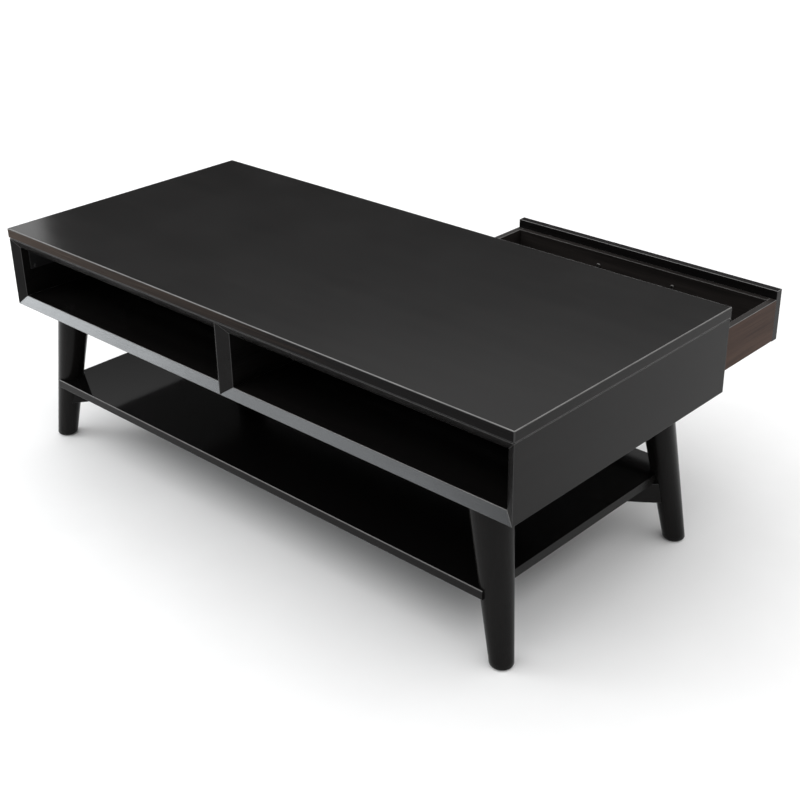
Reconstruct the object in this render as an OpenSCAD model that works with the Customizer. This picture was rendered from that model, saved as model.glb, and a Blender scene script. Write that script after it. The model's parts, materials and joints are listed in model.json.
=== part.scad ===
/* [Overall] */
// Length of the tabletop, left to right
top_l = 1200; // [1180:10:1260]
// Depth of the tabletop, front to back
top_w = 550; // [540:5:580]
// Height of the table from the floor to the tabletop's upper face
height = 430; // [420:5:460]
// Thickness of the tabletop
top_t = 18.5; // [16:0.5:20]
// Gap between the closed tabletop and the case
shadow_gap = 1.5; // [1.5:0.5:3]

/* [Case] */
// How far the tabletop overhangs the case on each side
overhang = 1; // [0:1:3]
// Height of the case
case_h = 131; // [128:1:140]
// Thickness of the case boards
board = 17; // [16:1:18]
// Depth of the sloping bevel on the front edges of the case
bevel_d = 10; // [6:1:14]
// Depth of the front top rail
front_rail_d = 24; // [20:1:24]
// Depth of the back top rail
back_rail_d = 40; // [38:1:42]
// Distance of the divider's left face from the table's middle
divider_left = -28.5; // [-32:0.5:-20]
// Distance of the divider's right face from the table's middle
divider_right = 9.5; // [5:0.5:20]
// Distance of the divider's front ridge from the table's middle
divider_ridge = -14; // [-16:1:-5]
// Front face of the lengthwise partition, measured from the table's middle
partition_y = -14; // [-16:1:-12]
// Thickness of the partition
partition_t = 18; // [16:1:18]

/* [Legs] */
// Distance of a leg's top centre from the middle, along the length
leg_top_x = 509; // [500:1:515]
// Distance of a leg's top centre from the middle, along the depth
leg_top_y = 211; // [205:1:215]
// Outward splay of a foot along the length
splay_x = 46.5; // [40:0.5:55]
// Outward splay of a foot along the depth
splay_y = 23.5; // [15:0.5:28]
// Width of a leg's top across the corner diagonal
leg_top_wide = 72; // [66:1:74]
// Width of a leg's top along the corner diagonal
leg_top_narrow = 60; // [54:1:66]
// Diameter of a foot
foot_d = 38; // [34:1:42]
// Thickness of the felt pad under a foot
pad_t = 2; // [1:0.5:3]

/* [Shelf] */
// Length of the shelf
shelf_l = 1062; // [1050:1:1066]
// Depth of the shelf
shelf_w = 507; // [502:1:516]
// Height of the shelf's upper face above the floor
shelf_z = 131; // [125:1:140]
// Thickness of the shelf
shelf_t = 16; // [15:1:18]

/* [Drawers] */
// How far the right drawer is pulled out at rest
drawer_out = 204; // [0:1:204]
// Half the width of the divider between the drawers
back_divider_half = 22; // [20:1:24]
// Side clearance of a drawer
drawer_gap = 2.2; // [1.5:0.1:3]
// Thickness of the drawer's outer front
drawer_front_t = 15; // [14:1:18]
// Thickness of the drawer box boards
drawer_board = 12; // [10:1:12]
// Height of the drawer box
drawer_box_h = 77; // [74:1:78]
// Thickness of the drawer bottom
drawer_bottom_t = 5; // [4:0.5:6]

/* [Lift mechanism] */
// Distance between the two pivots of an arm
arm_l = 160; // [150:1:160]
// Width of an arm
arm_w = 16; // [14:1:16]
// Thickness of an arm
arm_t = 5; // [4:0.5:5]
// Slope of the arms when the top is closed, in degrees
arm_closed = 2.5; // [2:0.5:3]
// Swing of the arms from closed to open, in degrees
arm_swing = 110; // [100:1:112]
// Diameter of a pivot pin
pin_d = 8; // [7:0.5:8]

/* [Hidden] */

LEFT = -1;
RIGHT = 1;
FRONT = -1;
BACK = 1;
CORNERS = [[LEFT, FRONT], [RIGHT, FRONT], [LEFT, BACK], [RIGHT, BACK]];

LACQUER = [0.07, 0.07, 0.075];
DRAWER_WOOD = [0.10, 0.085, 0.075];
BLACK_STEEL = [0.16, 0.16, 0.17];
ZINC = [0.72, 0.73, 0.75];
NYLON = [0.85, 0.85, 0.82];
RUBBER = [0.12, 0.12, 0.12];
FELT = [0.25, 0.22, 0.20];

// Small overlap that keeps a cutting body clear of the face that it cuts
cut = 1;
// Clearance between a shaft and the hole that it turns in
run_fit = 0.05;
// Clearance at the front arms' upper pivots, where the linkage is opened
open_fit = 0.3;
// Clearance of the shelf and its brackets around a leg
leg_fit = 0.4;

// Levels of the case, measured from the floor
slab_z = height - top_t;
case_top = slab_z - shadow_gap;
case_bottom = case_top - case_h;
floor_z = case_bottom + board;
rail_z = case_top - board;
inner_top = case_top - 4;
case_x = top_l / 2 - overhang;
case_y = top_w / 2 - overhang;
inner_x = case_x - board;
partition_back = partition_y + partition_t;

// Drawers
drawer_x0 = back_divider_half + drawer_gap;
drawer_x1 = inner_x - drawer_gap;
drawer_mid = (drawer_x0 + drawer_x1) / 2;
box_z0 = floor_z + 3;
box_z1 = box_z0 + drawer_box_h;
front_z0 = floor_z + 2;
front_z1 = rail_z - 1.5;
box_y0 = partition_back + 3;
box_y1 = case_y - drawer_front_t;
bottom_z0 = box_z0 + 8;
bottom_z1 = bottom_z0 + drawer_bottom_t;
groove = 5;
groove_fit = 0.2;
strip_h = 2.8;
strip_w = 14;
guide_rail_w = 20;
guide_rail_h = 7;
guide_fit = 0.5;
// Screws of a drawer, from the drawer's middle: two through to the handle, two for the front
handle_screw_x = 80;
handle_screw_z = 350;
front_screw_x = 200;
front_screw_z = 320;
front_screw_r = 2;
front_screw_head_r = 4.5;
front_screw_head_h = 2.5;

// Bar handles
handle_r = 5;
handle_reach = 18;
handle_overhang = 20;

// The model stands with its bounding box centred over the origin, right drawer pulled out
origin = [0, (top_w / 2 - case_y - drawer_out - handle_reach - handle_r) / 2, 0];

// Lift mechanism, in the plane of the end panels: pivot points as [y, z]
base_t = 3;
base_x = inner_x - base_t;
arm_x1 = base_x - 10;
arm_x0 = arm_x1 - arm_t;
ear_t = 3.5;
ear_x1 = arm_x0 - 0.5;
ear_x0 = ear_x1 - ear_t;
front_base = [-230, case_top - 19];
rear_base = [-188, case_top - 47];
arm_reach = arm_l * [cos(arm_closed), sin(arm_closed)];
front_tip = front_base + arm_reach;
rear_tip = rear_base + arm_reach;
hub_r = 10;
pin_r = pin_d / 2;
pin_head_r = 7;
pin_head_t = 2.5;
bush_r = 6.5;
tube_r = 7;
tube_wall = 1.5;
tube_at = arm_l - 22;
tube_pos = rear_base + tube_at * [cos(arm_closed), sin(arm_closed)];
open_angle = arm_closed + arm_swing;
stop_r = 3.5;
stop_pos = front_base + 12 * [cos(open_angle), sin(open_angle)]
    + (arm_w / 2 + stop_r + 0.3) * [-sin(open_angle), cos(open_angle)];
base_plate = [[-249, -166], [rear_base[1] - 17, case_top - 3]];
base_screw_pos = [[-239, 352], [-176, 352], [-204, 400], [-176, 400]];
screw_r = 2;
screw_head_r = 4;
flange_y = [-200, 60];
flange_w = 30;
flange_t = 3;
flange_screw_y = [-185, -110, 5, 48];
spring_r = 9.5;
spring_wire_r = 1.2;
spring_turns = 3;
spring_steps = 20;
spring_arm = 22;

// A box between two corners
module block(x, y, z) {
    translate([x[0], y[0], z[0]]) cube([x[1] - x[0], y[1] - y[0], z[1] - z[0]]);
}

// An outline given as [x, z], extruded along Y
module along_y(points, y) {
    translate([0, y[1], 0]) rotate([90, 0, 0]) linear_extrude(y[1] - y[0]) polygon(points);
}

// An outline given as [y, z], extruded along X
module along_x(points, x) {
    translate([x[0], 0, 0]) rotate([90, 0, 90]) linear_extrude(x[1] - x[0]) polygon(points);
}

// A cylinder along X between two positions, at [y, z]
module rod_x(r, x, at) {
    translate([x[0], at[0], at[1]]) rotate([0, 90, 0]) cylinder(r = r, h = x[1] - x[0], $fn = 48);
}

// A cylinder along Y between two positions, at [x, z]
module rod_y(r, y, at) {
    translate([at[0], y[1], at[1]]) rotate([90, 0, 0]) cylinder(r = r, h = y[1] - y[0], $fn = 48);
}

// Children drawn for the right side, mirrored for the left side
module side(sign) {
    mirror([sign == LEFT ? 1 : 0, 0, 0]) children();
}

// Children drawn for the back right corner, mirrored to another corner
module corner(sign_x, sign_y) {
    mirror([sign_x == LEFT ? 1 : 0, 0, 0]) mirror([0, sign_y == FRONT ? 1 : 0, 0]) children();
}

module tabletop() {
    color(LACQUER) difference() {
        block([-top_l / 2, top_l / 2], [-top_w / 2, top_w / 2], [slab_z, height]);
        for (s = [LEFT, RIGHT]) side(s) for (y = flange_screw_y) flange_screw_hole(y, screw_r, 12);
    }
}

// A hole or a shank for one bracket screw, going up from the flange
module flange_screw_hole(y, r, depth) {
    translate([ear_x1 - flange_w / 2, y, slab_z]) cylinder(r = r, h = depth, $fn = 24);
}

// Angle bracket under the tabletop, with an ear for each upper pivot
module top_bracket(sign) {
    color(BLACK_STEEL) side(sign) difference() {
        union() {
            block([ear_x1 - flange_w, ear_x1], flange_y, [slab_z - flange_t, slab_z]);
            for (tip = [front_tip, rear_tip]) {
                block([ear_x0, ear_x1], [tip[0] - hub_r, tip[0] + hub_r], [tip[1], slab_z]);
                rod_x(hub_r, [ear_x0, ear_x1], tip);
            }
        }
        for (tip = [front_tip, rear_tip]) rod_x(pin_r + run_fit, [ear_x0 - cut, ear_x1 + cut], tip);
        for (y = flange_screw_y) translate([0, 0, -flange_t - cut])
            flange_screw_hole(y, screw_r + 0.3, flange_t + 2 * cut);
    }
}

// Pins that join the arms to the top brackets, headed on their outer end
module top_pivot_pins() {
    color(ZINC) for (s = [LEFT, RIGHT], tip = [front_tip, rear_tip]) side(s) union() {
        rod_x(pin_r, [ear_x0 - 1, arm_x1 + 1], tip);
        rod_x(pin_head_r, [arm_x1 + 0.5, arm_x1 + 0.5 + pin_head_t], tip);
    }
}

module top_bracket_screws() {
    color(ZINC) for (s = [LEFT, RIGHT], y = flange_screw_y) side(s) union() {
        translate([0, 0, -flange_t]) flange_screw_hole(y, screw_r - 0.05, flange_t + 11);
        translate([0, 0, -flange_t - 2.2]) flange_screw_hole(y, screw_head_r, 2.2);
    }
}

// Plate on the inner face of an end panel, with a stud that stops the front arm when open
module lift_base(sign) {
    color(BLACK_STEEL) side(sign) difference() {
        union() {
            block([base_x, inner_x], base_plate[0], base_plate[1]);
            rod_x(stop_r, [arm_x0, base_x + cut], stop_pos);
        }
        for (at = [front_base, rear_base]) rod_x(pin_r + 0.02, [base_x - cut, inner_x + cut], at);
        for (at = base_screw_pos) rod_x(screw_r + 0.3, [base_x - cut, inner_x + cut], at);
    }
}

module lift_base_screws() {
    color(ZINC) for (s = [LEFT, RIGHT], at = base_screw_pos) side(s) union() {
        rod_x(screw_r - 0.05, [base_x - cut, inner_x + 11], at);
        rod_x(screw_head_r, [base_x - 2.2, base_x], at);
    }
}

// Pins that carry the lower ends of the arms, riveted into the base plates
module base_pivot_pins() {
    color(ZINC) for (s = [LEFT, RIGHT], at = [front_base, rear_base]) side(s) union() {
        rod_x(pin_r, [arm_x0 - 1, inner_x], at);
        rod_x(pin_head_r, [arm_x0 - 0.5 - pin_head_t, arm_x0 - 0.5], at);
    }
}

// Spacers between the base plates and the arms
module pivot_bushes() {
    color(NYLON) for (s = [LEFT, RIGHT], at = [front_base, rear_base]) side(s) difference() {
        rod_x(bush_r, [arm_x1 + 0.3, base_x - 0.1], at);
        rod_x(pin_r + 0.02, [arm_x1 - cut, base_x + cut], at);
    }
}

// Centre line of a torsion spring as points [x, y, z]: a straight end, the coil, a straight end
function spring_point(a, x) = [x, spring_r * cos(a), spring_r * sin(a)];
function spring_path() = let (
        x0 = arm_x1 + 2,
        pitch = (base_x - arm_x1 - 4) / spring_turns,
        last = 360 * spring_turns
    ) concat(
        [[x0, spring_r, -spring_arm]],
        [for (k = [0 : spring_turns * spring_steps])
            spring_point(k * 360 / spring_steps, x0 + k * pitch / spring_steps)],
        [[x0 + last * pitch / 360, spring_r, spring_arm]]
    );
// Rings of an eight-sided wire around a path that winds about the X axis
function wire_ring(p, out) = [for (k = [0 : 7])
    p + spring_wire_r * (cos(45 * k) * out + sin(45 * k) * [1, 0, 0])];
function ring_out(path, k) = k == 0 || k == len(path) - 1
    ? [0, 1, 0]
    : [0, path[k][1], path[k][2]] / norm([0, path[k][1], path[k][2]]);

module wire(path) {
    n = len(path);
    rings = [for (k = [0 : n - 1]) each wire_ring(path[k], ring_out(path, k))];
    walls = [for (k = [0 : n - 2], j = [0 : 7])
        [8 * k + j, 8 * k + (j + 1) % 8, 8 * (k + 1) + (j + 1) % 8, 8 * (k + 1) + j]];
    ends = [[7, 6, 5, 4, 3, 2, 1, 0], [for (j = [0 : 7]) 8 * (n - 1) + j]];
    polyhedron(rings, concat(walls, ends), convexity = 10);
}

module lift_springs() {
    color(ZINC) for (s = [LEFT, RIGHT]) side(s)
        translate([0, rear_base[0], rear_base[1]]) wire(spring_path());
}

// Flat arm between two pivot points
module arm(sign, from, to, tip_fit) {
    color(BLACK_STEEL) side(sign) difference() {
        union() {
            for (at = [from, to]) rod_x(hub_r, [arm_x0, arm_x1], at);
            translate([0, from[0], from[1]]) rotate([arm_closed, 0, 0])
                block([arm_x0, arm_x1], [0, arm_l], [-arm_w / 2, arm_w / 2]);
        }
        rod_x(pin_r + run_fit, [arm_x0 - cut, arm_x1 + cut], from);
        rod_x(pin_r + tip_fit, [arm_x0 - cut, arm_x1 + cut], to);
    }
}

module rear_arm(sign) {
    arm(sign, rear_base, rear_tip, run_fit);
}

module front_arm(sign) {
    arm(sign, front_base, front_tip, open_fit);
}

// Tube welded between the two rear arms, so that both sides rise together
module cross_tube() {
    color(BLACK_STEEL) difference() {
        rod_x(tube_r, [-arm_x0, arm_x0], tube_pos);
        rod_x(tube_r - tube_wall, [-arm_x0 - cut, arm_x0 + cut], tube_pos);
    }
}

// Wedge that a front top rail takes out of an end panel's mitred corner
module rail_mitre(y) {
    along_y([[case_x + cut, case_top + cut], [inner_x - cut, rail_z - cut],
        [inner_x - cut, case_top + cut]], y);
}

// Ratio by which a cutter reaches past the bevel's inner edge
past = 0.1;

module end_panel(sign) {
    color(LACQUER) side(sign) difference() {
        along_y([[case_x, case_bottom], [case_x, case_top], [inner_x, case_top],
            [inner_x, floor_z]], [-case_y, case_y]);
        translate([0, 0, case_bottom - cut]) linear_extrude(case_h + 2 * cut) polygon([
            [case_x, -case_y], [inner_x - past * board, -case_y + (1 + past) * bevel_d],
            [inner_x - past * board, -case_y - cut], [case_x, -case_y - cut]]);
        rail_mitre([-case_y - cut, -case_y + front_rail_d]);
        rail_mitre([case_y - back_rail_d, case_y + cut]);
        for (at = base_screw_pos) rod_x(screw_r, [inner_x - cut, inner_x + 11.5], at);
    }
}

module bottom_panel() {
    color(LACQUER) difference() {
        along_y([[-case_x, case_bottom], [case_x, case_bottom], [inner_x, floor_z],
            [-inner_x, floor_z]], [-case_y, case_y]);
        along_x([[-case_y, case_bottom], [-case_y + (1 + past) * bevel_d, floor_z + past * board],
            [-case_y - cut, floor_z + past * board], [-case_y - cut, case_bottom]],
            [-case_x - cut, case_x + cut]);
        for (c = CORNERS) translate([c[0] * leg_top_x, c[1] * leg_top_y, case_bottom - cut])
            cylinder(r = insert_r + 0.05, h = insert_h + cut + 0.5, $fn = 32);
    }
}

// Top rail between the end panels, mitred at both ends
module top_rail(y) {
    along_y([[-case_x, case_top], [case_x, case_top], [inner_x, rail_z], [-inner_x, rail_z]], y);
}

module front_top_rail() {
    color(LACQUER) difference() {
        top_rail([-case_y, -case_y + front_rail_d]);
        along_x([[-case_y, case_top], [-case_y + (1 + past) * bevel_d, rail_z - past * board],
            [-case_y - cut, rail_z - past * board], [-case_y - cut, case_top]],
            [-case_x - cut, case_x + cut]);
    }
}

module back_top_rail() {
    color(LACQUER) top_rail([case_y - back_rail_d, case_y]);
}

// Divider between the two front compartments, with a ridged front edge and a notch for the tube
module front_divider() {
    bevel_y = -case_y + bevel_d;
    rail_back = -case_y + front_rail_d;
    color(LACQUER) union() {
        block([divider_left, divider_right], [bevel_y, rail_back], [floor_z, rail_z]);
        difference() {
            block([divider_left, divider_right], [rail_back, partition_y], [floor_z, inner_top]);
            block([divider_left - cut, divider_right + cut],
                [tube_pos[0] - 30, tube_pos[0] + 16], [tube_pos[1] - 14, inner_top + cut]);
        }
        intersection() {
            along_x([[-case_y, case_bottom], [bevel_y, floor_z], [bevel_y, rail_z],
                [-case_y, case_top]], [divider_left, divider_right]);
            translate([0, 0, case_bottom]) linear_extrude(case_h) polygon([
                [divider_left, bevel_y], [divider_ridge, -case_y], [divider_right, bevel_y]]);
        }
    }
}

module partition() {
    color(LACQUER)
        block([-inner_x, inner_x], [partition_y, partition_back], [floor_z, inner_top]);
}

module back_divider() {
    rail_front = case_y - back_rail_d;
    color(LACQUER) union() {
        block([-back_divider_half, back_divider_half], [partition_back, rail_front],
            [floor_z, inner_top]);
        block([-back_divider_half, back_divider_half], [rail_front, case_y], [floor_z, rail_z]);
    }
}

// Rubber buttons on the end panels that the closed tabletop rests on
bumper_r = 5;
bumper_y = 245;
module top_bumpers() {
    color(RUBBER) for (c = CORNERS)
        translate([c[0] * (case_x - board / 2), c[1] * bumper_y, case_top])
            cylinder(r = bumper_r, h = shadow_gap - 0.1, $fn = 32);
}

// Rubber buttons on the partition that the closed drawers meet
module drawer_bumpers() {
    color(RUBBER) for (s = [LEFT, RIGHT], dx = [-200, 200])
        rod_y(bumper_r, [partition_back, partition_back + 2.5], [s * drawer_mid + dx, box_z0 + 46]);
}

// Blocks behind the back top rail that catch a drawer's back when it is pulled out
stop_w = 30;
stop_t = 10;
module drawer_stops() {
    rail_front = case_y - back_rail_d;
    color(LACQUER) for (s = [LEFT, RIGHT])
        block([s * drawer_mid - stop_w / 2, s * drawer_mid + stop_w / 2],
            [rail_front - stop_t, rail_front], [box_z1 - 5, inner_top]);
}

// Low-friction strips on the case floor under the drawer sides
module runner_strips() {
    color(NYLON) for (s = [LEFT, RIGHT]) side(s)
        for (x = [drawer_x0 + drawer_board / 2, drawer_x1 - drawer_board / 2])
            block([x - strip_w / 2, x + strip_w / 2], [partition_back + 4, box_y1 - 4],
                [floor_z, floor_z + strip_h]);
}

// Centre rails on the case floor that keep the drawers straight
module guide_rails() {
    color(DRAWER_WOOD) for (s = [LEFT, RIGHT])
        block([s * drawer_mid - guide_rail_w / 2, s * drawer_mid + guide_rail_w / 2],
            [partition_back, box_y1 - drawer_board - 6], [floor_z, floor_z + guide_rail_h]);
}

// Flat disc of a leg's oval outline at one height; grow widens it all round
module leg_disc(z, wide, narrow, t, grow) {
    down = (case_bottom - z) / (case_bottom - pad_t);
    tilt = atan2(leg_top_y, leg_top_x) + 12;
    translate([leg_top_x + splay_x * down, leg_top_y + splay_y * down, z]) rotate([0, 0, tilt])
        scale([narrow / 2 + grow, wide / 2 + grow, 1]) cylinder(r = 1, h = t, $fn = 48);
}

// Solid of the back right leg; grow gives it an all-round clearance
foot_round = 3;
module leg_solid(grow) {
    hull() {
        leg_disc(case_bottom - 0.01, leg_top_wide, leg_top_narrow, 0.01, grow);
        leg_disc(pad_t + foot_round, foot_d + 0.6, foot_d + 0.3, 0.01, grow);
        leg_disc(pad_t + foot_round / 3, foot_d - 1.6, foot_d - 1.6, 0.01, grow);
        leg_disc(pad_t, foot_d - 5, foot_d - 5, 0.01, grow);
    }
}

bolt_r = 4;
bolt_in_leg = 36;
insert_r = 6.5;
insert_h = 12.5;
module leg(sign_x, sign_y) {
    color(LACQUER) corner(sign_x, sign_y) difference() {
        leg_solid(0);
        translate([leg_top_x, leg_top_y, case_bottom - bolt_in_leg - 0.5])
            cylinder(r = bolt_r + 0.05, h = bolt_in_leg + cut, $fn = 32);
    }
}

// Hanger bolts that join the legs to the case
module leg_bolts() {
    color(ZINC) for (c = CORNERS)
        translate([c[0] * leg_top_x, c[1] * leg_top_y, case_bottom - bolt_in_leg])
            cylinder(r = bolt_r, h = bolt_in_leg + insert_h - 1, $fn = 32);
}

// Threaded inserts in the case bottom
module leg_inserts() {
    color(ZINC) for (c = CORNERS)
        translate([c[0] * leg_top_x, c[1] * leg_top_y, case_bottom]) difference() {
            cylinder(r = insert_r, h = insert_h, $fn = 32);
            translate([0, 0, -cut]) cylinder(r = bolt_r + 0.05, h = insert_h + 2 * cut, $fn = 32);
        }
}

module foot_pads() {
    color(FELT) for (c = CORNERS)
        translate([c[0] * (leg_top_x + splay_x), c[1] * (leg_top_y + splay_y), 0])
            cylinder(r = foot_d / 2 - 4, h = pad_t, $fn = 32);
}

// Shelf between the legs, notched around each of them
module shelf_panel() {
    color(LACQUER) difference() {
        block([-shelf_l / 2, shelf_l / 2], [-shelf_w / 2, shelf_w / 2], [shelf_z - shelf_t, shelf_z]);
        for (c = CORNERS) corner(c[0], c[1]) leg_solid(leg_fit);
        for (c = CORNERS, at = shelf_screw_along)
            on_bracket(c[0], c[1]) translate([at, 0, -cut])
                cylinder(r = screw_r, h = cut + 10.5, $fn = 24);
    }
}

// Arm under a shelf corner: it runs from the leg diagonally inwards and curves up to the shelf
bracket_w = 40;
bracket_seat = 16;
bracket_profile = [[0, 0], [118, 0], [118, -7], [111, -14], [100, -21.5], [86, -27.5],
    [68, -32], [45, -34.5], [22, -36.5], [0, -38]];
shelf_screw_along = [54, 98];
function leg_axis(z) = let (t = (case_bottom - z) / case_bottom)
    [leg_top_x + splay_x * t, leg_top_y + splay_y * t];

// Children drawn along +X from the leg, put in place under one shelf corner
module on_bracket(sign_x, sign_y) {
    at = leg_axis(shelf_z - shelf_t);
    corner(sign_x, sign_y) translate([at[0], at[1], shelf_z - shelf_t])
        rotate([0, 0, 225]) children();
}

module shelf_bracket(sign_x, sign_y) {
    color(LACQUER) difference() {
        on_bracket(sign_x, sign_y) difference() {
            rotate([90, 0, 0]) linear_extrude(bracket_w, center = true)
                polygon(bracket_profile);
            for (at = shelf_screw_along) translate([at, 0, 0]) {
                translate([0, 0, -60]) cylinder(r = screw_r + 0.3, h = 60 + cut, $fn = 24);
                translate([0, 0, -60]) cylinder(r = screw_head_r + 1, h = 60 - bracket_seat,
                    $fn = 24);
            }
        }
        corner(sign_x, sign_y) leg_solid(leg_fit);
    }
}

module shelf_screws() {
    color(ZINC) for (c = CORNERS, at = shelf_screw_along)
        on_bracket(c[0], c[1]) translate([at, 0, -bracket_seat]) union() {
            cylinder(r = screw_r - 0.05, h = bracket_seat + 10, $fn = 24);
            translate([0, 0, -2.2]) cylinder(r = screw_head_r, h = 2.2, $fn = 24);
        }
}

// Children drawn for the closed right drawer, put in place for one drawer
module drawer_place(sign) {
    translate([0, sign == RIGHT ? drawer_out : 0, 0]) side(sign) children();
}

// Holes or shanks of the screws in a drawer's front; right drawer, closed
module handle_screw_rods(r, y) {
    for (s = [LEFT, RIGHT]) rod_y(r, y, [drawer_mid + s * handle_screw_x, handle_screw_z]);
}

module front_screw_rods(r, y) {
    for (s = [LEFT, RIGHT]) rod_y(r, y, [drawer_mid + s * front_screw_x, front_screw_z]);
}

module drawer_front(sign) {
    color(LACQUER) drawer_place(sign) difference() {
        block([drawer_x0, drawer_x1], [box_y1, case_y], [front_z0, front_z1]);
        front_screw_rods(front_screw_r, [box_y1 - cut, box_y1 + 9.5]);
        handle_screw_rods(front_screw_r + 0.3, [box_y1 - cut, case_y + cut]);
    }
}

module drawer_subfront(sign) {
    y0 = box_y1 - drawer_board;
    color(DRAWER_WOOD) drawer_place(sign) difference() {
        block([drawer_x0 + drawer_board, drawer_x1 - drawer_board], [y0, box_y1], [box_z0, box_z1]);
        block([drawer_x0, drawer_x1], [y0 - cut, y0 + groove + groove_fit],
            [bottom_z0 - groove_fit / 2, bottom_z1 + groove_fit / 2]);
        front_screw_rods(front_screw_r + 0.3, [y0 - cut, box_y1 + cut]);
        handle_screw_rods(front_screw_r + 0.3, [y0 - cut, box_y1 + cut]);
    }
}

// Drawer side board; at is its lower x, grooved is the x range that the groove cuts
module drawer_side(sign, at, grooved) {
    color(DRAWER_WOOD) drawer_place(sign) difference() {
        block([at, at + drawer_board], [box_y0, box_y1], [box_z0, box_z1]);
        block(grooved, [box_y0 - cut, box_y1 - drawer_board + groove + groove_fit],
            [bottom_z0 - groove_fit / 2, bottom_z1 + groove_fit / 2]);
    }
}

module drawer_side_outer(sign) {
    x0 = drawer_x1 - drawer_board;
    drawer_side(sign, x0, [x0 - cut, x0 + groove + groove_fit]);
}

module drawer_side_inner(sign) {
    x1 = drawer_x0 + drawer_board;
    drawer_side(sign, drawer_x0, [x1 - groove - groove_fit, x1 + cut]);
}

module drawer_back(sign) {
    color(DRAWER_WOOD) drawer_place(sign)
        block([drawer_x0 + drawer_board, drawer_x1 - drawer_board],
            [box_y0, box_y0 + drawer_board], [bottom_z1 + groove_fit / 2, box_z1]);
}

module drawer_bottom(sign) {
    inset = drawer_board - groove;
    color(DRAWER_WOOD) drawer_place(sign)
        block([drawer_x0 + inset, drawer_x1 - inset],
            [box_y0, box_y1 - drawer_board + groove], [bottom_z0, bottom_z1]);
}

// Channel under a drawer's rear end that runs over the centre rail
module drawer_guide(sign) {
    half = guide_rail_w / 2 + guide_fit;
    color(NYLON) drawer_place(sign) difference() {
        block([drawer_mid - half - 9, drawer_mid + half + 9], [box_y0, box_y0 + 20],
            [floor_z + 1.5, bottom_z0]);
        block([drawer_mid - half, drawer_mid + half], [box_y0 - cut, box_y0 + 20 + cut],
            [floor_z + 1.5 - cut, floor_z + guide_rail_h + guide_fit]);
    }
}

module drawer_screws(sign) {
    y0 = box_y1 - drawer_board;
    color(ZINC) drawer_place(sign) {
        front_screw_rods(front_screw_r - 0.05, [y0 - cut, box_y1 + 9]);
        front_screw_rods(front_screw_head_r, [y0 - front_screw_head_h, y0]);
        handle_screw_rods(front_screw_r - 0.05, [y0 - cut, case_y + 9]);
        handle_screw_rods(front_screw_head_r, [y0 - front_screw_head_h, y0]);
    }
}

// Bar handle on two posts, tapped for its screws
module drawer_handle(sign) {
    reach = case_y + handle_reach;
    color(BLACK_STEEL) drawer_place(sign) difference() {
        union() {
            handle_screw_rods(handle_r - 0.5, [case_y, reach]);
            rod_x(handle_r, [drawer_mid - handle_screw_x - handle_overhang,
                drawer_mid + handle_screw_x + handle_overhang], [reach, handle_screw_z]);
        }
        handle_screw_rods(front_screw_r, [case_y - cut, case_y + 9.5]);
    }
}

translate(origin) tabletop();
translate(origin) top_bracket(LEFT);  // top_bracket_left
translate(origin) top_bracket(RIGHT);  // top_bracket_right
translate(origin) top_pivot_pins();
translate(origin) top_bracket_screws();
translate(origin) lift_base(LEFT);  // lift_base_left
translate(origin) lift_base(RIGHT);  // lift_base_right
translate(origin) lift_base_screws();
translate(origin) base_pivot_pins();
translate(origin) pivot_bushes();
translate(origin) lift_springs();
translate(origin) rear_arm(LEFT);  // rear_arm_left
translate(origin) rear_arm(RIGHT);  // rear_arm_right
translate(origin) cross_tube();
translate(origin) front_arm(LEFT);  // front_arm_left
translate(origin) front_arm(RIGHT);  // front_arm_right
translate(origin) end_panel(LEFT);  // end_panel_left
translate(origin) end_panel(RIGHT);  // end_panel_right
translate(origin) bottom_panel();
translate(origin) front_top_rail();
translate(origin) back_top_rail();
translate(origin) front_divider();
translate(origin) partition();
translate(origin) back_divider();
translate(origin) top_bumpers();
translate(origin) drawer_bumpers();
translate(origin) drawer_stops();
translate(origin) runner_strips();
translate(origin) guide_rails();
translate(origin) leg(LEFT, FRONT);  // leg_front_left
translate(origin) leg(RIGHT, FRONT);  // leg_front_right
translate(origin) leg(LEFT, BACK);  // leg_back_left
translate(origin) leg(RIGHT, BACK);  // leg_back_right
translate(origin) leg_bolts();
translate(origin) leg_inserts();
translate(origin) foot_pads();
translate(origin) shelf_panel();
translate(origin) shelf_bracket(LEFT, FRONT);  // shelf_bracket_front_left
translate(origin) shelf_bracket(RIGHT, FRONT);  // shelf_bracket_front_right
translate(origin) shelf_bracket(LEFT, BACK);  // shelf_bracket_back_left
translate(origin) shelf_bracket(RIGHT, BACK);  // shelf_bracket_back_right
translate(origin) shelf_screws();
translate(origin) drawer_front(LEFT);  // left_drawer_front
translate(origin) drawer_subfront(LEFT);  // left_drawer_subfront
translate(origin) drawer_side_outer(LEFT);  // left_drawer_side_outer
translate(origin) drawer_side_inner(LEFT);  // left_drawer_side_inner
translate(origin) drawer_back(LEFT);  // left_drawer_back
translate(origin) drawer_bottom(LEFT);  // left_drawer_bottom
translate(origin) drawer_guide(LEFT);  // left_drawer_guide
translate(origin) drawer_screws(LEFT);  // left_drawer_screws
translate(origin) drawer_handle(LEFT);  // left_drawer_handle
translate(origin) drawer_front(RIGHT);  // right_drawer_front
translate(origin) drawer_subfront(RIGHT);  // right_drawer_subfront
translate(origin) drawer_side_outer(RIGHT);  // right_drawer_side_outer
translate(origin) drawer_side_inner(RIGHT);  // right_drawer_side_inner
translate(origin) drawer_back(RIGHT);  // right_drawer_back
translate(origin) drawer_bottom(RIGHT);  // right_drawer_bottom
translate(origin) drawer_guide(RIGHT);  // right_drawer_guide
translate(origin) drawer_screws(RIGHT);  // right_drawer_screws
translate(origin) drawer_handle(RIGHT);  // right_drawer_handle
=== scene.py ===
"""A long black coffee table with a lift top, cubbies, drawers, splayed legs and a low shelf."""
import json
import math

import bmesh
import bpy
from mathutils import Matrix, Vector


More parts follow.
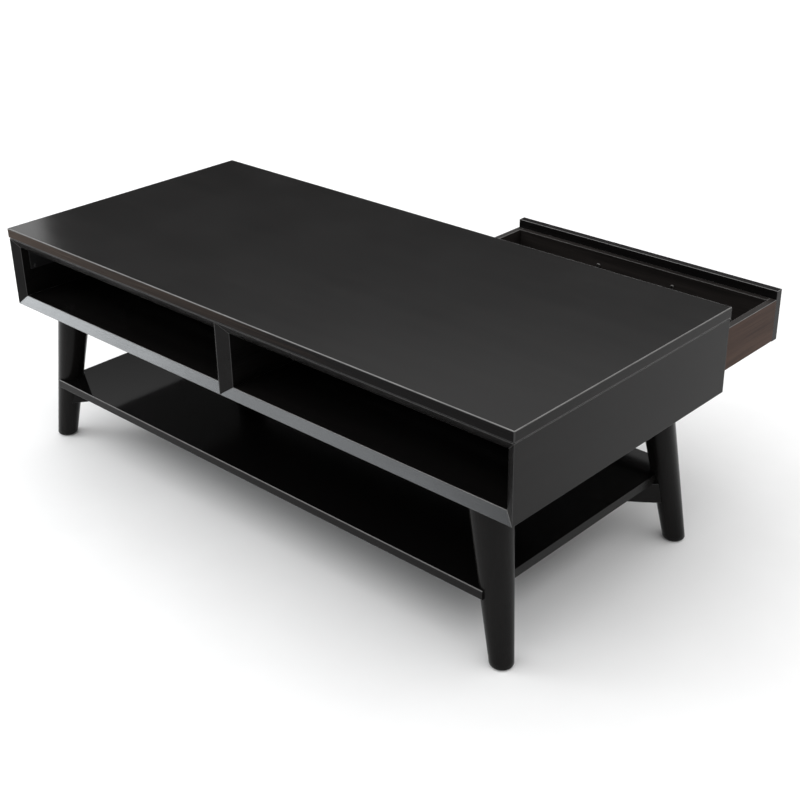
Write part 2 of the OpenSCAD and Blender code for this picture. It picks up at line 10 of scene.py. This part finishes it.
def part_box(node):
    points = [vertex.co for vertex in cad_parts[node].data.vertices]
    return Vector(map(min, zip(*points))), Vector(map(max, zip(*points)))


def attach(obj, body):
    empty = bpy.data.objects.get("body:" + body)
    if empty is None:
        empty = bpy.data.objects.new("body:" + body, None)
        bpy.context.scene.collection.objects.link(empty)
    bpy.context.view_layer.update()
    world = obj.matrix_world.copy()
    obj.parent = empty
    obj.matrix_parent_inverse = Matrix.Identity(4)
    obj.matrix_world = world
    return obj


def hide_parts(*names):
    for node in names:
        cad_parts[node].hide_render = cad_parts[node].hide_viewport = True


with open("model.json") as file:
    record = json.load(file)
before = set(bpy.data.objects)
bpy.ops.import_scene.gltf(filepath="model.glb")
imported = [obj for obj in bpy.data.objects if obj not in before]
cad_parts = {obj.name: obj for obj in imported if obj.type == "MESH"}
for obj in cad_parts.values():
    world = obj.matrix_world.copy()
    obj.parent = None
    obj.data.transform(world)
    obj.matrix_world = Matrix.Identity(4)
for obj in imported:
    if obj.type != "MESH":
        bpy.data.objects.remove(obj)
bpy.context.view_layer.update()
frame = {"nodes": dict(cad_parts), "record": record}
NODES = frame["nodes"]
RECORD = frame["record"]
BODY_OF = {n: b for b, ns in RECORD["behaviour"]["bodies"].items() for n in ns}
SLOT_OF = {s["node"]: s["material_slot"] for s in RECORD["subparts"]}
MM = 0.001


# Camera ---------------------------------------------------------------------------------
CAM_AT = Vector((1.5812, -1.650, 1.2957))
CAM_YAW = math.radians(43.27)
CAM_PITCH = math.radians(27.14)
CAM_ROLL = math.radians(-0.96)
CAM_LENS = 61.74


def add_camera():
    data = bpy.data.cameras.new("camera")
    data.lens = CAM_LENS
    data.sensor_width = 36.0
    data.clip_end = 200.0
    cam = bpy.data.objects.new("camera", data)
    bpy.context.scene.collection.objects.link(cam)
    ca, sa = math.cos(CAM_YAW), math.sin(CAM_YAW)
    ce, se = math.cos(CAM_PITCH), math.sin(CAM_PITCH)
    back = Vector((sa * ce, -ca * ce, se))
    right = Vector((ca, sa, 0.0))
    up = back.cross(right)
    cr, sr = math.cos(CAM_ROLL), math.sin(CAM_ROLL)
    x = cr * right + sr * up
    y = -sr * right + cr * up
    m = Matrix((x, y, back)).transposed().to_4x4()
    m.translation = CAM_AT
    cam.matrix_world = m
    bpy.context.scene.camera = cam


# Materials ------------------------------------------------------------------------------
class Graph:
    """A material's node tree, with short calls that add and link nodes."""

    def __init__(self, name):
        self.mat = bpy.data.materials.new(name)
        self.mat.use_nodes = True
        self.tree = self.mat.node_tree
        self.shader = self.tree.nodes["Principled BSDF"]

    def node(self, kind, **inputs):
        n = self.tree.nodes.new(kind)
        for key, value in inputs.items():
            self.put(n, key.replace("_", " "), value)
        return n

    def put(self, n, key, value):
        socket = n.inputs[int(key)] if key.isdigit() else n.inputs[key]
        if isinstance(value, bpy.types.NodeSocket):
            self.tree.links.new(value, socket)
        else:
            socket.default_value = value

    def coords(self, scale):
        co = self.node("ShaderNodeTexCoord")
        mapping = self.node("ShaderNodeMapping", Vector=co.outputs["Object"])
        mapping.inputs["Scale"].default_value = scale
        return mapping.outputs["Vector"]

    def along_x(self):
        split = self.node("ShaderNodeSeparateXYZ", Vector=self.coords((1.0, 1.0, 1.0)))
        return split.outputs["X"]

    def noise(self, scale, detail=4.0, rough=0.55, distortion=0.0):
        n = self.node("ShaderNodeTexNoise", Vector=self.coords(scale))
        n.inputs["Scale"].default_value = 1.0
        n.inputs["Detail"].default_value = detail
        n.inputs["Roughness"].default_value = rough
        n.inputs["Distortion"].default_value = distortion
        return n.outputs["Fac"]

    def ramp(self, fac, low, high, from_=0.3, to=0.7):
        n = self.node("ShaderNodeValToRGB", Fac=fac)
        n.color_ramp.elements[0].position = from_
        n.color_ramp.elements[0].color = (*low, 1.0)
        n.color_ramp.elements[1].position = to
        n.color_ramp.elements[1].color = (*high, 1.0)
        return n.outputs["Color"]

    def spread(self, fac, low, high, from_=0.25, to=0.75):
        n = self.node("ShaderNodeMapRange", Value=fac)
        n.inputs["From Min"].default_value = from_
        n.inputs["From Max"].default_value = to
        n.inputs["To Min"].default_value = low
        n.inputs["To Max"].default_value = high
        return n.outputs["Result"]

    def math(self, operation, a, b):
        n = self.node("ShaderNodeMath")
        n.operation = operation
        self.put(n, "0", a)
        self.put(n, "1", b)
        return n.outputs["Value"]

    def bump(self, height, distance, strength=1.0):
        n = self.node("ShaderNodeBump", Height=height)
        n.inputs["Distance"].default_value = distance
        n.inputs["Strength"].default_value = strength
        self.put(self.shader, "Normal", n.outputs["Normal"])


AXIS = {"x": 0, "y": 1, "z": 2}


def along(axis, long, across):
    """Texture scale that stretches a pattern along one axis."""
    scale = [across] * 3
    scale[AXIS[axis]] = long
    return tuple(scale)


def lacquer(name, grain, dark, light, rough, bump, specular=0.22, painted_left_light=0.0):
    """Black lacquer over wood: pores that follow the grain, and a slow change of gloss.

    With painted_left_light, the colour is painted paler towards -X: painted light falling from
    the left.
    """
    g = Graph(name)
    pores = g.noise(along(grain, 9.0, 900.0), detail=5.0, rough=0.65)
    figure = g.noise(along(grain, 1.6, 38.0), detail=3.0, distortion=0.6)
    haze = g.noise((5.0, 5.0, 5.0), detail=3.0)
    tone = g.math("ADD", g.math("MULTIPLY", pores, 0.5), g.math("MULTIPLY", figure, 0.5))
    # painted light: the colour gets paler towards -X
    if painted_left_light:
        tone = g.math("ADD", tone, g.math("MULTIPLY", g.math("ADD", g.along_x(), 0.25), -painted_left_light))
    g.put(g.shader, "Base Color", g.ramp(tone, dark, light))
    gloss = g.math("ADD", g.spread(haze, rough - 0.03, rough + 0.03),
                   g.spread(pores, -0.03, 0.03))
    g.put(g.shader, "Roughness", gloss)
    g.shader.inputs["IOR"].default_value = 1.5
    g.shader.inputs["Specular IOR Level"].default_value = specular
    g.bump(g.math("ADD", g.math("MULTIPLY", pores, 0.7), g.math("MULTIPLY", figure, 0.3)), bump)
    return g.mat


def painted_edge_highlight(name):
    """A painted highlight: pale colour on the rounded edges that face up, broken up by noise."""
    g = Graph(name)
    facing = g.node("ShaderNodeNewGeometry").outputs["Normal"]
    up = g.node("ShaderNodeSeparateXYZ", Vector=facing).outputs["Z"]
    highlight_breakup = g.spread(g.noise((30.0, 30.0, 30.0)), 0.5, 1.0)
    # pale only where the edge faces up: painted highlight
    tone = g.math("MULTIPLY", g.spread(up, 0.0, 1.0, 0.15, 0.60), highlight_breakup)
    g.put(g.shader, "Base Color", g.ramp(tone, BLACK, PAINTED_HIGHLIGHT_PALE, 0.0, 1.0))
    g.put(g.shader, "Roughness", g.spread(highlight_breakup, 0.36, 0.30))
    g.shader.inputs["IOR"].default_value = 1.5
    g.shader.inputs["Specular IOR Level"].default_value = 0.5
    return g.mat


def metal(name, colour, rough, metallic):
    """Plated or powder coated metal with a fine texture."""
    g = Graph(name)
    grit = g.noise((900.0, 900.0, 900.0), detail=3.0)
    stain = g.noise((40.0, 40.0, 40.0), detail=4.0)
    g.put(g.shader, "Base Color", g.ramp(stain, tuple(0.8 * c for c in colour), colour))
    g.put(g.shader, "Roughness", g.spread(stain, rough - 0.06, rough + 0.06))
    g.shader.inputs["Metallic"].default_value = metallic
    g.bump(grit, 0.00005, 0.6)
    return g.mat


def soft(name, colour, rough, scale, depth):
    """Rubber, nylon or felt with a fine, even surface."""
    g = Graph(name)
    grain = g.noise((scale, scale, scale), detail=5.0, rough=0.7)
    g.put(g.shader, "Base Color", g.ramp(grain, tuple(0.7 * c for c in colour), colour))
    g.put(g.shader, "Roughness", g.spread(grain, rough - 0.05, rough + 0.05))
    g.bump(grain, depth)
    return g.mat


BLACK = (0.0030, 0.0028, 0.0028)
BLACK_LIGHT = (0.0085, 0.0078, 0.0075)
WARM = (0.0030, 0.0026, 0.0026)
WARM_LIGHT = (0.0380, 0.0240, 0.0160)
# blue-grey painted reflection for the bottom panel's front bevel
SHEEN_BLUE_GREY = (0.0110, 0.0125, 0.0150)
# pale colour of the painted edge highlight
PAINTED_HIGHLIGHT_PALE = (0.2000, 0.1970, 0.1940)
SIDE_DARK = (0.0200, 0.0105, 0.0070)
SIDE_LIGHT = (0.0900, 0.0520, 0.0380)
INSIDE = (0.0020, 0.0017, 0.0015)
INSIDE_LIGHT = (0.0360, 0.0310, 0.0290)
LACQUER = {a: lacquer("lacquer_" + a, a, BLACK, BLACK_LIGHT, 0.15, 0.00003) for a in AXIS}
# brown tone for the tabletop's front face, painted paler towards -X as painted light from the
# left
EDGE = {a: lacquer("edge_" + a, a, WARM, WARM_LIGHT, 0.27, 0.00006, 0.05, 0.45) for a in AXIS}
MATT = {a: lacquer("lacquer_matt_" + a, a, BLACK, BLACK_LIGHT, 0.24, 0.00004, 0.11)
        for a in AXIS}
SHELF = lacquer("lacquer_shelf", "x", BLACK, BLACK, 0.06, 0.00001, 0.14)
# black lacquer with a blue-grey painted reflection
SATIN_SHEEN = lacquer("lacquer_satin_x", "x", BLACK, SHEEN_BLUE_GREY, 0.24, 0.00006, 1.0)
# painted edge highlight for the rounded board edges
EDGE_HIGHLIGHT_PAINT = painted_edge_highlight("lacquer_rubbed")
# brown tone for the outward faces of the outer drawer sides
BROWN_OUTER_SIDE = lacquer("stained_side", "y", SIDE_DARK, SIDE_LIGHT, 0.40, 0.00012, 0.05)
STAIN = {a: lacquer("stain_" + a, a, INSIDE, INSIDE_LIGHT, 0.45, 0.00025) for a in AXIS}
POWDER = metal("powder_coat", (0.009, 0.009, 0.0095), 0.45, 0.0)
DULL_ZINC = metal("dull_zinc", (0.20, 0.195, 0.19), 0.42, 1.0)
ZINC = metal("bright_zinc", (0.70, 0.71, 0.73), 0.26, 1.0)
NYLON = soft("nylon", (0.62, 0.62, 0.58), 0.45, 300.0, 0.00004)
RUBBER = soft("rubber", (0.020, 0.020, 0.020), 0.75, 500.0, 0.00006)
FELT = soft("felt", (0.055, 0.048, 0.043), 0.95, 700.0, 0.0003)
SLOT_LOOK = {"black_steel": POWDER, "zinc": ZINC, "nylon": NYLON, "rubber": RUBBER, "felt": FELT}


def grain_of(node):
    """The wood's grain runs along a piece's longest side."""
    lo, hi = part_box(node)
    size = hi - lo
    return "xyz"[max(range(3), key=lambda k: size[k])]


def look_of(node):
    slot = SLOT_OF[node]
    if slot == "lacquer":
        return LACQUER[grain_of(node)]
    if slot == "drawer_wood":
        return STAIN[grain_of(node)]
    return SLOT_LOOK[slot]


# Pieces ---------------------------------------------------------------------------------
SEAM = 1e-6
LONG_EDGE = 0.010
SMALL_EDGE = 0.0002
EASE_SEGMENTS = 3
FLAT_ANGLE = math.radians(0.5)
SHARP_ANGLE = math.radians(25)


def add_piece(name, bm, node, smooth=30.0):
    """Turns a bmesh into a piece that stands for a CAD node and rides on its body."""
    mesh = bpy.data.meshes.new(name)
    bm.to_mesh(mesh)
    bm.free()
    mesh.polygons.foreach_set("use_smooth", [True] * len(mesh.polygons))
    mesh.set_sharp_from_angle(angle=math.radians(smooth))
    mesh.materials.append(look_of(node))
    piece = bpy.data.objects.new(name, mesh)
    bpy.context.scene.collection.objects.link(piece)
    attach(piece, BODY_OF[node])
    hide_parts(node)
    return piece


def welded(node):
    """A bmesh of a CAD node with its seams welded."""
    bm = bmesh.new()
    bm.from_mesh(NODES[node].data)
    bmesh.ops.remove_doubles(bm, verts=bm.verts, dist=SEAM)
    return bm


def eased(node, suffix, width, shortest=LONG_EDGE, rim=None):
    """A CAD node with its long sharp edges rounded over, and a finish of their own for them."""
    bm = welded(node)
    bmesh.ops.dissolve_limit(bm, angle_limit=FLAT_ANGLE, verts=bm.verts, edges=bm.edges)
    weight = bm.edges.layers.float.new("bevel_weight_edge")
    for e in bm.edges:
        sharp = len(e.link_faces) == 2 and e.calc_face_angle() > SHARP_ANGLE
        e[weight] = 1.0 if sharp and e.calc_length() > shortest else 0.0
    piece = add_piece(node + suffix, bm, node)
    bevel = piece.modifiers.new("eased_edges", "BEVEL")
    bevel.width = width
    bevel.segments = EASE_SEGMENTS
    bevel.limit_method = "WEIGHT"
    bevel.harden_normals = True
    bevel.use_clamp_overlap = True
    if rim is not None:
        piece.data.materials.append(rim)
        bevel.material = len(piece.data.materials) - 1
    return piece


def plain(node, suffix):
    """A CAD node as it is. Its outline has slivers too short for a bevel of any width."""
    return add_piece(node + suffix, welded(node), node)


def islands(node):
    """The boxes of a node's separate solids."""
    bm = welded(node)
    left = set(bm.verts)
    boxes = []
    while left:
        stack = [left.pop()]
        seen = list(stack)
        while stack:
            v = stack.pop()
            for e in v.link_edges:
                w = e.other_vert(v)
                if w in left:
                    left.discard(w)
                    stack.append(w)
                    seen.append(w)
        co = [v.co.copy() for v in seen]
        boxes.append((Vector([min(c[k] for c in co) for k in range(3)]),
                      Vector([max(c[k] for c in co) for k in range(3)])))
    bm.free()
    return sorted(boxes, key=lambda b: tuple(round(c, 4) for c in b[0]))


def ring(bm, points):
    return [bm.verts.new(p) for p in points]


def bridge(bm, a, b):
    n = len(a)
    for k in range(n):
        bm.faces.new((a[k], a[(k + 1) % n], b[(k + 1) % n], b[k]))


SCREW_SIDES = 48
HEAD_RINGS = 10


def cross_recess(x, y, head_r):
    """Depth of a screw head's cross recess at a point of the head."""
    arm, half = 0.55 * head_r, 0.13 * head_r
    inside = (abs(x) < arm and abs(y) < half) or (abs(y) < arm and abs(x) < half)
    return 0.45 * head_r if inside else 0.0


def add_screw(bm, tip, head, head_r, shank_r, head_h):
    """A pan head screw from its tip to the top of its head, with a cross recess."""
    axis = (head - tip).normalized()
    turn = Vector((0, 0, 1)).rotation_difference(axis).to_matrix()

    def at(r, k, h):
        a = 2 * math.pi * k / SCREW_SIDES
        return head - axis * h + turn @ Vector((r * math.cos(a), r * math.sin(a), 0))

    def circle(r, h):
        return ring(bm, [at(r, k, h) for k in range(SCREW_SIDES)])

    under = circle(head_r, head_h)
    shank = circle(shank_r, head_h)
    root = circle(shank_r, (head - tip).length - shank_r)
    bridge(bm, shank, under)
    bridge(bm, root, shank)
    end = bm.verts.new(tip)
    for k in range(SCREW_SIDES):
        bm.faces.new((end, root[(k + 1) % SCREW_SIDES], root[k]))
    last = under
    for j in range(HEAD_RINGS):
        t = 1 - j / HEAD_RINGS
        dome = head_h * 0.75 * (1 - math.sqrt(max(0.0, 1 - (0.96 * t) ** 2)))
        points = []
        for k in range(SCREW_SIDES):
            a = 2 * math.pi * k / SCREW_SIDES
            deep = cross_recess(t * head_r * math.cos(a), t * head_r * math.sin(a), head_r)
            points.append(at(head_r * t * (0.97 if j == 0 else 1.0), k, dome + deep))
        now = ring(bm, points)
        bridge(bm, last, now)
        last = now
    middle = bm.verts.new(head - axis * 0.45 * head_r)
    for k in range(SCREW_SIDES):
        bm.faces.new((last[k], last[(k + 1) % SCREW_SIDES], middle))


def screws(node, axis, head_r, shank_r, head_h, sign):
    """One piece for a group of screws; sign says which end of the axis has the head."""
    bm = bmesh.new()
    for lo, hi in islands(node):
        mid = (lo + hi) / 2
        end = sign(mid) if callable(sign) else sign
        tip, head = mid.copy(), mid.copy()
        tip[axis] = lo[axis] if end > 0 else hi[axis]
        head[axis] = hi[axis] if end > 0 else lo[axis]
        add_screw(bm, tip, head, head_r, shank_r, head_h)
    bmesh.ops.recalc_face_normals(bm, faces=bm.faces)
    return add_piece(node + "_made", bm, node, 35.0)


def wire_piece(node):
    """The springs as smooth round wire."""
    piece = add_piece(node + "_wire", welded(node), node, 80.0)
    rounder = piece.modifiers.new("round_wire", "SUBSURF")
    rounder.levels = rounder.render_levels = 1
    return piece


LEG_SIDES = 96
LEG_RINGS = 36
LEG_TILT = math.radians(34.5)
LEVEL = 1e-4          # how near two heights count as one
FOOT_TOP = 0.008      # the leg's foot rings all lie below this


def leg_piece(node):
    """A round tapered leg, lofted from the CAD leg's own outlines at its top and foot."""
    verts = [v.co for v in NODES[node].data.vertices]
    lo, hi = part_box(node)
    sx = 1.0 if lo.x > 0 else -1.0
    middle_y = sum(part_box("tabletop")[k].y for k in (0, 1)) / 2
    sy = 1.0 if (lo.y + hi.y) / 2 > middle_y else -1.0

    def outline(z):
        level = [v for v in verts if abs(v.z - z) < LEVEL]
        cx = (min(v.x for v in level) + max(v.x for v in level)) / 2
        cy = (min(v.y for v in level) + max(v.y for v in level)) / 2
        u = Vector((sx * math.cos(LEG_TILT), sy * math.sin(LEG_TILT)))
        w = Vector((-u.y, u.x))
        d = [Vector((v.x - cx, v.y - cy)) for v in level]
        return Vector((cx, cy)), max(p.dot(u) for p in d), max(p.dot(w) for p in d), u, w

    levels = sorted({round(v.z, 4) for v in verts
                     if abs(v.z - hi.z) < LEVEL or v.z < FOOT_TOP})
    outlines = {z: outline(z) for z in levels}
    bm = bmesh.new()
    last = None
    low = levels[:-1]
    stations = [(z, outlines[z]) for z in low]
    base, top = outlines[low[-1]], outlines[levels[-1]]
    for j in range(1, LEG_RINGS + 1):
        t = j / LEG_RINGS
        mix = tuple(a + (b - a) * t for a, b in zip(base[:3], top[:3])) + base[3:]
        stations.append((low[-1] + (levels[-1] - low[-1]) * t, mix))
    for z, (c, ru, rw, u, w) in stations:
        points = []
        for k in range(LEG_SIDES):
            a = 2 * math.pi * k / LEG_SIDES
            p = c + ru * math.cos(a) * u + rw * math.sin(a) * w
            points.append((p.x, p.y, z))
        now = ring(bm, points)
        if last:
            bridge(bm, last, now)
        else:
            bm.faces.new(now)
        last = now
    bm.faces.new(last)
    bmesh.ops.recalc_face_normals(bm, faces=bm.faces)
    return add_piece(node + "_turned", bm, node, 40.0)


def finish_faces(piece, finish, wanted):
    """Another finish on the faces whose normal is wanted."""
    piece.data.materials.append(finish)
    last = len(piece.data.materials) - 1
    for face in piece.data.polygons:
        if wanted(face.normal):
            face.material_index = last


DRAWER_SCREW = (4.5 * MM, 1.95 * MM, 2.5 * MM)      # head radius, shank radius, head height
LIFT_SCREW = (4.0 * MM, 1.95 * MM, 2.2 * MM)
BOARD_EASE = {"tabletop": 1.6, "shelf_panel": 1.5}  # in millimetres; 0.8 on the other boards
SHORTEST = {"shelf_panel": 0.6}     # only its long edges: the leg notches hold back the rest
for name in NODES:
    if name.startswith("leg_") and name not in ("leg_bolts", "leg_inserts"):
        leg_piece(name).data.materials[0] = MATT["z"]
    elif name.endswith("drawer_screws"):
        screws(name, AXIS["y"], *DRAWER_SCREW, -1).data.materials[0] = DULL_ZINC
    elif name == "lift_base_screws":
        screws(name, AXIS["x"], *LIFT_SCREW, lambda c: -1 if c.x > 0 else 1)
    elif name in ("top_bracket_screws", "shelf_screws"):
        screws(name, AXIS["z"], *LIFT_SCREW, -1)
    elif name == "lift_springs":
        wire_piece(name)
    elif SLOT_OF[name] == "lacquer":
        # the rounded edges get the painted edge highlight
        board = eased(name, "_board", BOARD_EASE.get(name, 0.8) * MM,
                      SHORTEST.get(name, LONG_EDGE), rim=EDGE_HIGHLIGHT_PAINT)
        finish_faces(board, MATT[grain_of(name)], lambda n: abs(n.z) < 0.5)
        if name == "tabletop":
            # the front face: a brown tone, painted paler towards -X as painted light
            finish_faces(board, EDGE["x"], lambda n: n.y < -0.5)
        elif name == "bottom_panel":
            # the bevel facing up and front gets a blue-grey painted reflection
            finish_faces(board, SATIN_SHEEN, lambda n: n.y < -0.5 and n.z > 0.2)
        elif name == "shelf_panel":
            finish_faces(board, SHELF, lambda n: n.z > 0.9)
    elif SLOT_OF[name] == "drawer_wood":
        # the rounded edges get the painted edge highlight
        board = eased(name, "_board", 0.8 * MM, rim=EDGE_HIGHLIGHT_PAINT)
        if name.endswith("side_outer"):
            out = -1 if name.startswith("left") else 1
            # brown only on the outward face of the outer drawer sides
            finish_faces(board, BROWN_OUTER_SIDE, lambda n: out * n.x > 0.9)
    elif SLOT_OF[name] in ("rubber", "felt"):
        eased(name, "_pad", 0.5 * MM, SMALL_EDGE)
    elif SLOT_OF[name] == "nylon":
        eased(name, "_moulded", 0.3 * MM)
    elif "_arm_" in name:
        plain(name, "_metal")
    else:
        eased(name, "_metal", 0.3 * MM, SMALL_EDGE)


# Stage ----------------------------------------------------------------------------------
def add_floor():
    mesh = bpy.data.meshes.new("floor")
    size = 60.0
    mesh.from_pydata([(-size, -size, 0), (size, -size, 0), (size, size, 0), (-size, size, 0)],
                     [], [(0, 1, 2, 3)])
    floor = bpy.data.objects.new("floor", mesh)
    bpy.context.scene.collection.objects.link(floor)
    g = Graph("pale_floor")
    g.put(g.shader, "Base Color", g.ramp(g.noise((6.0, 6.0, 6.0)), (0.90, 0.90, 0.90),
                                         (0.92, 0.92, 0.92)))
    g.shader.inputs["Roughness"].default_value = 0.9
    g.shader.inputs["Specular IOR Level"].default_value = 0.1
    mesh.materials.append(g.mat)


def add_area(name, at, aim, size, power, colour=(1.0, 1.0, 1.0)):
    data = bpy.data.lights.new(name, "AREA")
    data.shape = "RECTANGLE"
    data.size, data.size_y = size
    data.energy = power
    data.color = colour
    lamp = bpy.data.objects.new(name, data)
    bpy.context.scene.collection.objects.link(lamp)
    lamp.location = at
    lamp.visible_camera = False
    direction = Vector(aim) - Vector(at)
    lamp.rotation_euler = direction.to_track_quat("-Z", "Y").to_euler()


def add_world():
    """A studio dome: bright overhead, dim near the horizon."""
    world = bpy.data.worlds.new("studio")
    world.use_nodes = True
    tree = world.node_tree
    sky = tree.nodes["Background"]
    co = tree.nodes.new("ShaderNodeTexCoord")
    split = tree.nodes.new("ShaderNodeSeparateXYZ")
    ramp = tree.nodes.new("ShaderNodeValToRGB")
    tree.links.new(co.outputs["Generated"], split.inputs[0])
    tree.links.new(split.outputs["Z"], ramp.inputs["Fac"])
    tree.links.new(ramp.outputs["Color"], sky.inputs["Color"])
    stops = [(0.0, 0.56), (0.07, 0.56), (0.19, 0.05), (0.29, 0.02), (0.33, 0.06), (0.37, 0.09),
             (0.405, 0.13), (0.455, 0.40), (0.52, 0.48), (0.62, 0.60), (0.76, 1.0)]
    ramp.color_ramp.elements[0].position = stops[0][0]
    ramp.color_ramp.elements[1].position = stops[-1][0]
    for at, _ in stops[1:-1]:
        ramp.color_ramp.elements.new(at)
    for e, (_, v) in zip(ramp.color_ramp.elements, stops):
        e.color = (v, v, v, 1.0)
    sky.inputs["Strength"].default_value = 1.75
    bpy.context.scene.world = world


add_camera()
add_floor()
add_world()
COOL = (0.93, 0.97, 1.0)
add_area("low_left_softbox", (-2.65, -1.75, 0.93), (-0.5, -0.4, 0.3), (1.2, 0.55), 12.5, COOL)
add_area("low_front_softbox", (-1.5, -2.45, 1.05), (0.4, -0.4, 0.3), (1.3, 0.5), 5.0, COOL)
add_area("left_softbox", (-3.25, 0.85, 1.38), (-0.5, -0.3, 0.43), (0.8, 0.8), 2.5)
add_area("rim_front_left", (-2.1, -1.8, 2.1), (-0.1, -0.3, 0.43), (0.9, 0.9), 9.0)
bpy.context.scene.view_settings.view_transform = "Standard"
